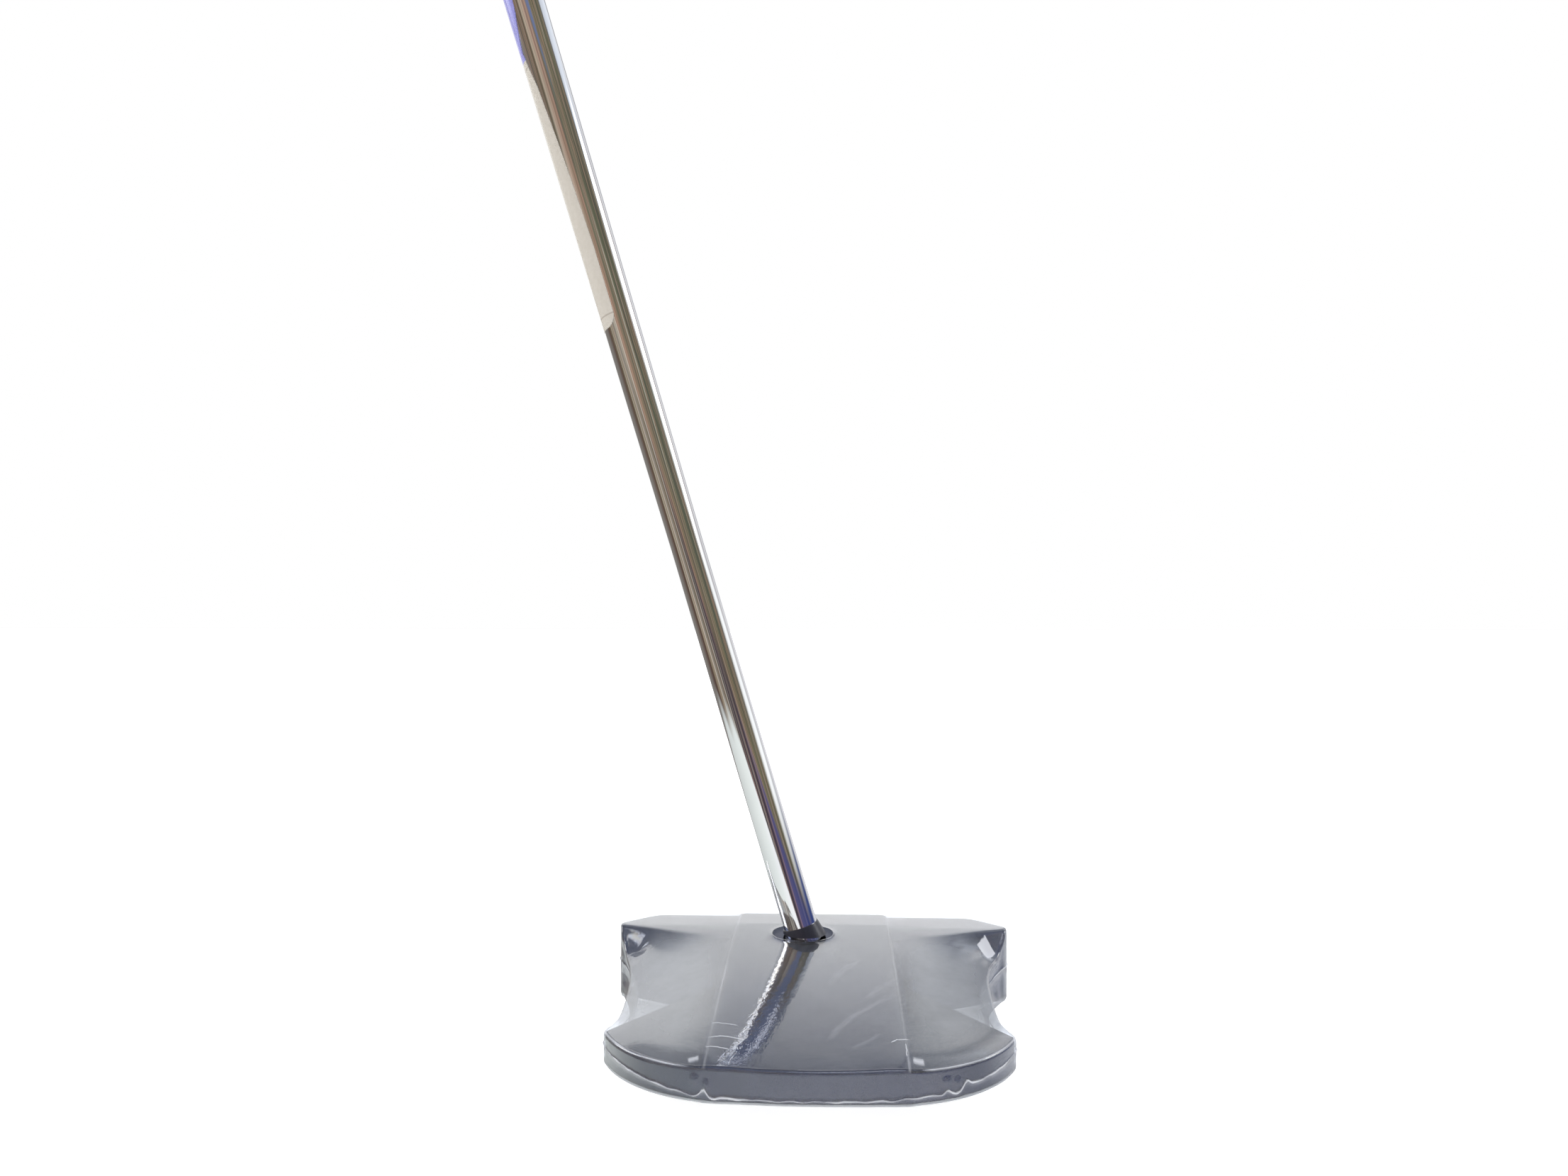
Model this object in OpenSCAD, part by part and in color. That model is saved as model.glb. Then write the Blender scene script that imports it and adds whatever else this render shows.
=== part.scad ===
// Centre-shafted mallet putter with a shrink-wrapped head.
// Origin: under the middle of the head on the ground. +X toe, -X heel, +Y target, +Z up. Millimetres.

/* [Head plan] */
// Width of the front bar over its tips, before the tips are rounded
bar_w = 114.6; // [106:0.2:122]
// Distance of the face in front of the shaft plane
face_y = 16.2; // [13:0.1:20]
// Distance of the trailing edge behind the shaft plane
back_y = 66.8; // [62:0.1:74]
// Width of the rear flange over its two corner arcs
flange_w = 104.4; // [94:0.2:110]
// Radius of the two rear corner arcs
corner_r = 34.5; // [26:0.5:36]
// Half width where the bar, spine and flange meet
neck_half = 22.2; // [20:0.2:25]

/* [Head heights] */
// Height of the bar and of the front of the crown
crown_z = 23.2; // [20:0.1:26]
// Radius in which the crown falls away towards the back
crown_r = 434; // [300:1:600]
// Angle at which it starts to fall, in degrees
crown_kink = 5; // [0:0.5:8]
// Where the crown starts to fall away, ahead of the shaft plane
bend_y = 5; // [0:0.5:8]
// Height of the top of the rear flange
flange_z = 11.3; // [10:0.1:14]
// Height of the underside of the rear flange
flange_low = 4.2; // [2.5:0.1:4.5]
// Camber radius of the sole from heel to toe
camber_x_r = 430; // [300:5:800]
// Camber radius of the sole from front to back
camber_y_r = 220; // [160:5:500]

/* [Alignment plate] */
// Thickness of the raised centre plate
plate_t = 0.8; // [0.5:0.1:1.2]
// Half width of its top at the face
plate_front_half = 20.3; // [18:0.1:21]
// Half width of its top at the trailing edge
plate_back_half = 22.5; // [20:0.1:23]
// Width of the bevel along each side
plate_bevel = 1.3; // [0.5:0.1:1.4]

/* [Face insert] */
// Width of the insert
insert_w = 62; // [50:1:70]
// Height of the insert
insert_h = 14; // [11:0.5:15]
// Thickness of the insert
insert_t = 4; // [3:0.5:5]
// Number of grooves across the insert
groove_n = 9; // [5:1:11]

/* [Weights] */
// Diameter of the two front weights
front_weight_d = 12; // [9:0.5:13]
// Diameter of the two rear weights
rear_weight_d = 13; // [10:0.5:14]

/* [Shaft] */
// Lean of the shaft towards the heel, degrees from vertical
lean_heel = 17; // [10:0.5:20]
// Lean of the shaft towards the target, degrees
lean_front = 3; // [0:0.5:6]
// Diameter of the parallel tip
tip_d = 9.4; // [8.6:0.1:9.8]
// Diameter of the butt
butt_d = 15.24; // [14.7:0.02:15.3]
// Wall of the tube
shaft_wall = 0.9; // [0.7:0.05:1.2]
// Where the taper starts, from the crown
taper_start = 112; // [90:1:140]
// Length of the taper
taper_len = 414; // [350:1:440]
// Length of the shaft above the crown
shaft_len = 836; // [790:1:862]
// Depth of the shaft in the head
bore_depth = 19; // [15:0.5:20]

/* [Grip] */
// Length of the grip
grip_len = 267; // [240:1:280]
// Width of the grip at its lower end
grip_low_d = 20.5; // [19:0.5:24]
// Width of the grip at its widest
grip_top_d = 31; // [27:0.5:34]

/* [Label and film] */
// Where the label starts, from the crown
label_start = 178; // [120:1:300]
// Length of the label
label_len = 122; // [60:1:150]
// Angle that the label wraps round the shaft
label_wrap = 235; // [120:5:330]
// Thickness of the film shell
film_t = 0.3; // [0.2:0.05:0.4]
// Gap between the film shell and the head
film_gap = 0.05; // [0.05:0.05:0.1]

/* [Hidden] */
$fn = 96;
eps = 0.01;

// Ground to metal: the film's gap and thickness lie under the sole
sole_z = film_gap + film_t;
big = 90;
sole_mid_y = (face_y - back_y) / 2;

// Plan vertices of the right half
tip = [bar_w / 2, 5.2];
front_break = [45.3, face_y];
neck = [neck_half, -3.6];
corner_c = [flange_w / 2 - corner_r, corner_r + 1 - back_y];
horn_angle = -26;
horn_arc_start = corner_c + corner_r * [cos(horn_angle), sin(horn_angle)];
horn = horn_arc_start + 2.6 * [-sin(horn_angle), cos(horn_angle)];
front_r = 7;
tip_r = 2.5;
neck_r = 6;
horn_r = 3.2;
back_arc_n = 6;
corner_arc_n = 16;

// Axis of the crown's arc
crown_mid = [bend_y + crown_r * sin(crown_kink), crown_z - crown_r * cos(crown_kink)];

// Steps that follow the crown's fall: the plate's bevel and the film's top
bevel_steps = 6;
crown_steps = 14;

// Heights
plate_z = crown_z + plate_t;
entry = [-2.5, -2.6, plate_z];
spine_half = 23.9;
bore_r = tip_d / 2 + 0.1;
insert_z = (crown_z + sole_z + 3) / 2;
tape_t = 0.3;
groove_w = 0.8;
groove_depth = 0.3;

// Sole plate
pad = [46, 52];
pad_mid_y = -22;
pad_t = 2.2;
pad_r = 8;
screw_x = 17;
screw_y = 16;
screw_head_r = 2.8;
screw_r = 1.5;
screw_len = 7;

// Weights: [x, y, diameter, height of the plug, height of its lower face]
front_weight = [38.5, 8.2, front_weight_d, 8, 2.5];
rear_weight = [35.5, -44, rear_weight_d, 5.4, flange_low];
weight_flange_h = 2;
seal_r = 0.6;
key_r = 2.2;
key_depth = 1.8;

// Shaft and grip
tip_r_mm = tip_d / 2;
butt_r = butt_d / 2;
taper_end = taper_start + taper_len;
ferrule_top = 2.2;
ferrule_base_r = 5.8;
ferrule_top_r = 5.0;
plug_len = 12;
grip_start = shaft_len - grip_len;
grip_tape_t = 0.3;
grip_bore_r = butt_r + grip_tape_t;
cap_t = 4;
cap_lip = 1.2;
vent_r = 1.4;
flat_depth = 0.76;
label_t = 0.12;
// The label's right edge as seen from behind the head
label_edge = 259;

// Outer profile of the grip: a slim lower end, a swell under the hands, a full butt
grip_profile = [
    [grip_low_d / 2 - 0.8, 0],
    [grip_low_d / 2, 1.5],
    [grip_low_d / 2 + 0.6, 40],
    [grip_low_d / 2 + 2.0, 90],
    [grip_top_d / 2 - 2.6, 140],
    [grip_top_d / 2 - 1.4, 180],
    [grip_top_d / 2 - 0.3, 220],
    [grip_top_d / 2, 245],
    [grip_top_d / 2, grip_len]
];

// Film: opening round the shaft, and the shallow hollow of each side between bar tip and horn
hole_half = 8.4;
hole_r = 5;
waist_front = [54.6, 2];
waist_back = [50, -42];
waist_r = 48;

function unit(v) = v / norm(v);
function turn(a) = a > 180 ? a - 360 : a < -180 ? a + 360 : a;

// Points of the arc that rounds corner b, between neighbours a and c
function rounded(a, b, c, r, n = 6) =
    let (
        u = unit(a - b),
        v = unit(c - b),
        half = acos(u * v) / 2,
        m = b + unit(u + v) * r / sin(half),
        p = b + u * r / tan(half) - m,
        q = b + v * r / tan(half) - m,
        a0 = atan2(p.y, p.x),
        da = turn(atan2(q.y, q.x) - a0)
    )
    [for (i = [0:n]) m + r * [cos(a0 + da * i / n), sin(a0 + da * i / n)]];

function mirrored(points) = [for (i = [len(points) - 1:-1:0]) [-points[i].x, points[i].y]];
function both_sides(points) = concat(points, mirrored(points));

// Trailing half arc: the corner arc, then a shallow bow to the middle
function back_half() = concat(
    [for (i = [0:corner_arc_n])
        corner_c + corner_r * [cos(horn_angle - (90 + horn_angle) * i / corner_arc_n),
                               sin(horn_angle - (90 + horn_angle) * i / corner_arc_n)]],
    [for (i = [1:back_arc_n - 1])
        [corner_c.x * (1 - i / back_arc_n), -back_y + pow(1 - i / back_arc_n, 2)]]
);
function bar_front() = concat(
    rounded([0, face_y], front_break, tip, front_r),
    rounded(front_break, tip, neck, tip_r)
);

// The front bar alone
module bar_plan() polygon(both_sides(concat(bar_front(), [neck])));

// The rear flange alone
module flange_plan() polygon(both_sides(concat(
    [neck],
    rounded(neck, horn, horn_arc_start, horn_r),
    back_half(),
    [[0, -back_y]]
)));

// The spine that joins them, under the alignment plate
module spine_plan() intersection() {
    flange_plan();
    translate([-spine_half, -back_y - 1]) square([2 * spine_half, 2 * back_y]);
}

// The hourglass outline of bar and flange together
module head_plan() polygon(both_sides(concat(
    bar_front(),
    rounded(tip, neck, horn, neck_r),
    rounded(neck, horn, horn_arc_start, horn_r),
    back_half(),
    [[0, -back_y]]
)));

// How far the crown has fallen at y, and how steep it is there
function crown_drop(y) =
    y > bend_y ? 0 : crown_z - crown_mid.y - sqrt(pow(crown_r, 2) - pow(crown_mid.x - y, 2));
function crown_slope(y) = y > bend_y ? 0 : asin((crown_mid.x - y) / crown_r);

// Everything under the crown, raised by dz
module under_crown(dz = 0) {
    translate([-big, bend_y, -1]) cube([2 * big, 2 * face_y, crown_z + dz + 1]);
    intersection() {
        translate([0, crown_mid.x, crown_mid.y])
            rotate([0, 90, 0])
            cylinder(h = 2 * big, r = crown_r + dz, center = true, $fn = 720);
        translate([-big, bend_y - 2 * big, -1]) cube([2 * big, 2 * big, crown_z + dz + 1]);
    }
}

// Everything above the cambered sole, lowered by dz
module above_sole(dz = 0) intersection() {
    translate([0, sole_mid_y, sole_z + camber_x_r])
        rotate([90, 0, 0]) cylinder(h = 2 * big, r = camber_x_r + dz, center = true, $fn = 720);
    translate([0, sole_mid_y, sole_z + camber_y_r])
        rotate([0, 90, 0]) cylinder(h = 2 * big, r = camber_y_r + dz, center = true, $fn = 720);
}

// Places children in the shaft's frame: origin where the axis meets the crown, +Z up the shaft
module on_shaft() translate(entry) rotate([-lean_front, -lean_heel, 0]) children();

module at_weight(w, side) translate([side * w.x, w.y, w[4]]) children();

// Where the four sole screws go, from the underside of the sole plate
module at_screws()
    for (sx = [-1, 1], sy = [-1, 1])
        translate([sx * screw_x, pad_mid_y + sy * screw_y, sole_z]) children();

// Upright rounded block, centred in X and Y
module rounded_block(size, r, h)
    linear_extrude(h) {
        square([size.x - 2 * r, size.y], center = true);
        square([size.x, size.y - 2 * r], center = true);
        for (sx = [-1, 1], sy = [-1, 1])
            translate([sx * (size.x / 2 - r), sy * (size.y / 2 - r)]) circle(r);
    }

// Face-on rounded block whose outer side lies in the face
module face_block(grow, depth)
    translate([0, face_y, insert_z])
        rotate([90, 0, 0])
        rounded_block([insert_w + 2 * grow, insert_h + 2 * grow], 4 + grow, depth);

// The ring that seals a weight, above its flange
module seal_ring(w) translate([0, 0, weight_flange_h])
    rotate_extrude() translate([w[2] / 2 - 1.5 + seal_r, 0]) circle(seal_r);

// Upright block with round ends, centred in X and Y
module slot_block(half, r, h)
    linear_extrude(h) {
        square([2 * (half - r), 2 * r], center = true);
        for (side = [-1, 1]) translate([side * (half - r), 0]) circle(r);
    }

module weight_room(w, side) at_weight(w, side) {
    translate([0, 0, -w[4]]) cylinder(h = w[4] + weight_flange_h, d = w[2]);
    translate([0, 0, weight_flange_h - eps]) cylinder(h = w[3] - weight_flange_h + 2 * eps, d = w[2] - 3);
    seal_ring(w);
}

module weight_plug(w, side) at_weight(w, side) difference() {
    union() {
        cylinder(h = weight_flange_h, d = w[2] - 0.1);
        cylinder(h = w[3], d = w[2] - 3);
    }
    translate([0, 0, -1]) cylinder(h = 1 + key_depth, r = key_r, $fn = 6);
    seal_ring(w);
}

module weight_seal(w, side) at_weight(w, side) seal_ring(w);

module head_body() color([0.10, 0.10, 0.12]) difference() {
    union() {
        translate([0, 0, flange_low]) linear_extrude(flange_z - flange_low) head_plan();
        intersection() {
            linear_extrude(2 * crown_z) {
                bar_plan();
                spine_plan();
            }
            under_crown();
            above_sole();
        }
    }
    on_shaft() translate([0, 0, -bore_depth - 0.4]) cylinder(h = 2 * bore_depth, r = bore_r);
    translate([0, eps, 0]) face_block(0, insert_t + tape_t + eps);
    translate([0, pad_mid_y, sole_z - 1]) rounded_block(pad, pad_r, pad_t + 1);
    at_screws() cylinder(h = screw_len + 0.5, r = screw_r);
    for (side = [-1, 1]) {
        weight_room(front_weight, side);
        weight_room(rear_weight, side);
    }
}

// Half widths of the plate run straight from front to back
module plate_plan(grow) polygon(both_sides([
    [plate_front_half + grow, face_y],
    [plate_back_half + grow, 1 - back_y],
    [0, -back_y]
]));

module alignment_plate() color([0.12, 0.12, 0.14]) difference() {
    intersection() {
        linear_extrude(2 * crown_z) intersection() {
            plate_plan(plate_bevel);
            head_plan();
        }
        under_crown(plate_t);
    }
    under_crown();
    for (side = [-1, 1]) plate_edge_cut(side);
    on_shaft() translate([0, 0, -bore_depth]) cylinder(h = 2 * bore_depth, r = bore_r);
}

// Slanted cut that bevels one side of the plate from front to back
module plate_edge_cut(side) {
    run = face_y + back_y;
    spread = atan((plate_back_half - plate_front_half) / run);
    for (i = [0:bevel_steps - 1]) {
        y1 = face_y + 1 - i * (run + 2) / bevel_steps;
        y0 = face_y + 1 - (i + 1) * (run + 2) / bevel_steps;
        mid = (y0 + y1) / 2;
        half = plate_front_half + (face_y - mid) * tan(spread);
        translate([side * half, mid, plate_z - crown_drop(mid)])
            rotate([crown_slope(mid), 0, side * spread])
            rotate([0, side * atan(plate_t / plate_bevel), 0])
            translate([side > 0 ? -5 : -25, -(y1 - y0) * 0.6, 0])
            cube([30, (y1 - y0) * 1.2, 5]);
    }
}
module face_insert() color([0.55, 0.56, 0.58]) difference() {
    face_block(-0.05, insert_t);
    for (i = [0:groove_n - 1])
        translate([0, face_y, insert_z + insert_h * ((i + 0.5) / groove_n - 0.5)])
            cube([insert_w + 2, 2 * groove_depth, groove_w], center = true);
}

module insert_tape() color([0.85, 0.80, 0.45])
    translate([0, -insert_t, 0]) face_block(-0.3, tape_t);

module sole_plate() color([0.62, 0.63, 0.65]) difference() {
    translate([0, pad_mid_y, sole_z]) rounded_block([pad.x - 0.1, pad.y - 0.1], pad_r, pad_t);
    at_screws() {
        translate([0, 0, -eps]) cylinder(h = 1.4, r1 = screw_head_r + 0.1, r2 = screw_r + 0.1);
        cylinder(h = pad_t + 1, r = screw_r + 0.1);
    }
}

module sole_screws() color([0.75, 0.76, 0.78]) at_screws() difference() {
    union() {
        cylinder(h = 1.3, r1 = screw_head_r, r2 = screw_r);
        cylinder(h = screw_len, r = screw_r);
    }
    translate([0, 0, -1]) cylinder(h = 1.9, r = 1, $fn = 6);
}

module heel_front_weight() color([0.70, 0.71, 0.73]) weight_plug(front_weight, -1);
module toe_front_weight() color([0.70, 0.71, 0.73]) weight_plug(front_weight, 1);
module heel_rear_weight() color([0.70, 0.71, 0.73]) weight_plug(rear_weight, -1);
module toe_rear_weight() color([0.70, 0.71, 0.73]) weight_plug(rear_weight, 1);
module weight_seals() color([0.05, 0.05, 0.05])
    for (w = [front_weight, rear_weight], side = [-1, 1]) weight_seal(w, side);

// Short collar: round about the shaft, cut flat on the crown
module ferrule() color([0.03, 0.03, 0.03]) difference() {
    intersection() {
        on_shaft() translate([0, 0, -3])
            cylinder(h = 3 + ferrule_top, r1 = ferrule_base_r + 0.7, r2 = ferrule_top_r);
        translate([-20, -20, plate_z]) cube([40, 40, 20]);
    }
    on_shaft() translate([0, 0, -10]) cylinder(h = 30, r = tip_r_mm);
}

module shaft() color([0.85, 0.86, 0.88]) on_shaft() rotate_extrude() polygon([
    [tip_r_mm - shaft_wall, -bore_depth],
    [tip_r_mm, -bore_depth],
    [tip_r_mm, taper_start],
    [butt_r, taper_end],
    [butt_r, shaft_len],
    [butt_r - shaft_wall, shaft_len],
    [butt_r - shaft_wall, taper_end],
    [tip_r_mm - shaft_wall, taper_start]
]);

// Bond round the tip, from the bottom of the bore to the crown
module shaft_epoxy() color([0.80, 0.75, 0.55]) intersection() {
    on_shaft() translate([0, 0, -bore_depth]) difference() {
        cylinder(h = bore_depth + 5, r = bore_r);
        translate([0, 0, -1]) cylinder(h = bore_depth + 7, r = tip_r_mm);
    }
    under_crown();
}

module tip_plug() color([0.60, 0.48, 0.32])
    on_shaft() translate([0, 0, -bore_depth + 1]) cylinder(h = plug_len, r = tip_r_mm - shaft_wall);

// Radius of the shaft's surface at height h
function shaft_r_at(h) = h < taper_start ? tip_r_mm
    : h > taper_end ? butt_r
    : tip_r_mm + (butt_r - tip_r_mm) * (h - taper_start) / taper_len;

module shaft_label() color([0.90, 0.88, 0.83]) on_shaft() rotate([0, 0, label_edge - label_wrap])
    rotate_extrude(angle = label_wrap) polygon([
        [shaft_r_at(label_start), label_start],
        [shaft_r_at(label_start) + label_t, label_start],
        [shaft_r_at(label_start + label_len) + label_t, label_start + label_len],
        [shaft_r_at(label_start + label_len), label_start + label_len]
    ]);

module grip_tape() color([0.78, 0.72, 0.55]) on_shaft() translate([0, 0, grip_start]) difference() {
    cylinder(h = grip_len, r = grip_bore_r);
    translate([0, 0, -1]) cylinder(h = grip_len + 2, r = butt_r);
}

// Cuts the thumb flat: a plane leaning with the grip's taper
module thumb_flat(h) {
    low = flat_depth * grip_low_d / 2 + 1;
    high = flat_depth * grip_top_d / 2;
    tilt = atan((high - low) / grip_len);
    translate([low, -30, 0]) rotate([0, tilt, 0]) translate([0, 0, -10]) cube([30, 60, h + 30]);
}

module grip() color([0.07, 0.07, 0.08]) on_shaft() translate([0, 0, grip_start]) difference() {
    rotate_extrude() polygon(concat([[grip_bore_r, 0]], grip_profile, [[grip_bore_r, grip_len]]));
    thumb_flat(grip_len);
}

module grip_cap() color([0.10, 0.10, 0.11]) on_shaft() translate([0, 0, shaft_len]) difference() {
    rotate_extrude() polygon([
        [vent_r, 0],
        [grip_top_d / 2, 0],
        [grip_top_d / 2, cap_t - cap_lip],
        [grip_top_d / 2 - cap_lip, cap_t],
        [vent_r, cap_t]
    ]);
    translate([0, 0, -grip_len]) thumb_flat(grip_len + 10);
}

// Centre of the arc that hollows one side of the film
function waist_centre() = let (
    chord = waist_back - waist_front,
    out = unit([-chord.y, chord.x])
) (waist_front + waist_back) / 2 + out * sqrt(pow(waist_r, 2) - pow(norm(chord) / 2, 2));

// Taut skin over the head, grown by g: the bar, the plate and the flange pulled together
module taut(g) {
    difference() {
        hull() {
            intersection() {
                linear_extrude(crown_z + g) offset(delta = g) bar_plan();
                above_sole(g);
            }
            intersection() {
                linear_extrude(flange_z) offset(delta = g) spine_plan();
                above_sole(g);
            }
            translate([0, 0, flange_low - g])
                linear_extrude(flange_z - flange_low + 2 * g) offset(delta = g) flange_plan();
            crown_skin(g);
        }
        for (side = [-1, 1])
            translate([side * (waist_centre().x + g), waist_centre().y, -1])
                cylinder(h = 40, r = waist_r, $fn = 360);
    }
    translate([0, pad_mid_y, sole_z - g]) rounded_block([pad.x + 2 * g, pad.y + 2 * g], pad_r + g, 3);
}

// The plate's top as strips along the crown's fall, grown by g
module crown_skin(g) for (i = [0:crown_steps]) {
    y = face_y - (face_y + back_y) * i / crown_steps;
    half = plate_front_half + (plate_back_half - plate_front_half) * i / crown_steps + g;
    edge = i == 0 ? g - 0.25 : i == crown_steps ? 0.25 - g : 0;
    translate([-half, y + edge - 0.25, 5]) cube([2 * half, 0.5, plate_z + g - crown_drop(y) - 5]);
}
module head_film() color([0.80, 0.85, 0.90, 0.35]) difference() {
    taut(film_gap + film_t);
    taut(film_gap);
    translate([entry.x, entry.y, crown_z]) slot_block(hole_half, hole_r, 20);
}

head_body();
alignment_plate();
face_insert();
insert_tape();
sole_plate();
sole_screws();
heel_front_weight();
toe_front_weight();
heel_rear_weight();
toe_rear_weight();
weight_seals();
ferrule();
shaft_epoxy();
tip_plug();
shaft();
shaft_label();
grip_tape();
grip();
grip_cap();
head_film();
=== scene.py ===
"""Centre-shafted mallet putter, its head still in clear shrink film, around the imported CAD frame."""

import math

import bpy
import numpy as np
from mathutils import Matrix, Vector


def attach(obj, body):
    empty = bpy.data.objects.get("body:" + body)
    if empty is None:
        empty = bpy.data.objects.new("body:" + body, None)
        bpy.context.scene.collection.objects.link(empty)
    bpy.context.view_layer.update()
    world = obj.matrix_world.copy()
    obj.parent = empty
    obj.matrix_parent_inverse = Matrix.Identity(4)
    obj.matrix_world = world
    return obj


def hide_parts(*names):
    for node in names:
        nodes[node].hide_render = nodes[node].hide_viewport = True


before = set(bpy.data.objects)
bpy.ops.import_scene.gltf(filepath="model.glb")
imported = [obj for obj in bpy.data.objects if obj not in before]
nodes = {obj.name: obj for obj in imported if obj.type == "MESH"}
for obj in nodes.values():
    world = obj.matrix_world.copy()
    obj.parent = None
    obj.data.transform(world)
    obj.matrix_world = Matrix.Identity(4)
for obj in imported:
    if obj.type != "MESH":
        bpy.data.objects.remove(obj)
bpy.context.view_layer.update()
scene = bpy.context.scene
MM = 0.001


# ---- camera, light and floor

def make_camera():
    data = bpy.data.cameras.new("camera")
    data.sensor_width = 36
    data.lens = 27.065
    data.clip_start = 0.01
    camera = bpy.data.objects.new("camera", data)
    camera.location = (0.00621, -0.32898, 0.11945)
    camera.rotation_euler = (math.radians(90), 0, math.radians(2.44))
    scene.collection.objects.link(camera)
    scene.camera = camera


def srgb(r, g, b):
    """Linear colour from 0-255 display values, all above 10."""
    return tuple(((c / 255 + 0.055) / 1.055) ** 2.4 for c in (r, g, b)) + (1,)


class Tree:
    """Short calls for building a node tree."""

    def __init__(self, tree):
        self.tree = tree
        self.nodes = tree.nodes
        self.nodes.clear()

    def add(self, kind, inputs=None, **settings):
        node = self.nodes.new("ShaderNode" + kind)
        for key, value in settings.items():
            setattr(node, key, value)
        for key, value in (inputs or {}).items():
            self.put(node.inputs[key], value)
        return node

    def link(self, source, target):
        self.tree.links.new(source, target)

    def put(self, socket, value):
        if isinstance(value, bpy.types.NodeSocket):
            self.tree.links.new(value, socket)
        else:
            socket.default_value = value

    def math(self, operation, *values, clamp=False):
        node = self.add("Math", operation=operation, use_clamp=clamp)
        for socket, value in zip(node.inputs, values):
            self.put(socket, value)
        return node.outputs[0]

    def plus(self, a, b, clamp=False):
        return self.math("ADD", a, b, clamp=clamp)

    def minus(self, a, b):
        return self.math("SUBTRACT", a, b)

    def times(self, a, b):
        return self.math("MULTIPLY", a, b)

    def away(self, a, b):
        """Distance between two values."""
        return self.math("ABSOLUTE", self.minus(a, b))

    def span(self, value, low, high, to_low=0.0, to_high=1.0):
        node = self.add("MapRange", interpolation_type="SMOOTHSTEP")
        for index, v in enumerate((value, low, high, to_low, to_high)):
            self.put(node.inputs[index], v)
        return node.outputs[0]

    def mix(self, factor, a, b):
        node = self.add("Mix", data_type="RGBA")
        self.put(node.inputs[0], factor)
        self.put(node.inputs[6], a)
        self.put(node.inputs[7], b)
        return node.outputs[2]

    def ramp(self, value, stops):
        node = self.add("ValToRGB")
        elements = node.color_ramp.elements
        while len(elements) < len(stops):
            elements.new(0.5)
        for element, (position, colour) in zip(elements, stops):
            element.position = position
            element.color = colour
        self.put(node.inputs[0], value)
        return node.outputs[0]

    def noise(self, coords, scale, detail=3.0, rough=0.5):
        inputs = {"Vector": coords, "Scale": scale, "Detail": detail, "Roughness": rough}
        return self.add("TexNoise", inputs).outputs["Fac"]

    def mapped(self, coords, scale):
        return self.add("Mapping", {"Vector": coords, "Scale": scale}).outputs[0]

    def xyz(self, vector):
        return self.add("SeparateXYZ", {0: vector}).outputs

    def painted(self, name):
        """A number that the mesh carries at its vertices."""
        return self.add("Attribute", attribute_name=name).outputs["Fac"]

    def blend(self, factor, a, b):
        """Mix of two shaders."""
        return self.add("MixShader", {0: factor, 1: a, 2: b}).outputs[0]

    def bump(self, height, strength, distance, normal=None):
        node = self.add("Bump", {"Strength": strength, "Distance": distance, "Height": height})
        if normal is not None:
            self.link(normal, node.inputs["Normal"])
        return node.outputs[0]


def around(stops):
    """Ramp stops from azimuths in degrees, measured from -Y towards +X."""
    return [((azimuth + 180) / 360, srgb(*colour)) for azimuth, colour in stops]


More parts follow.
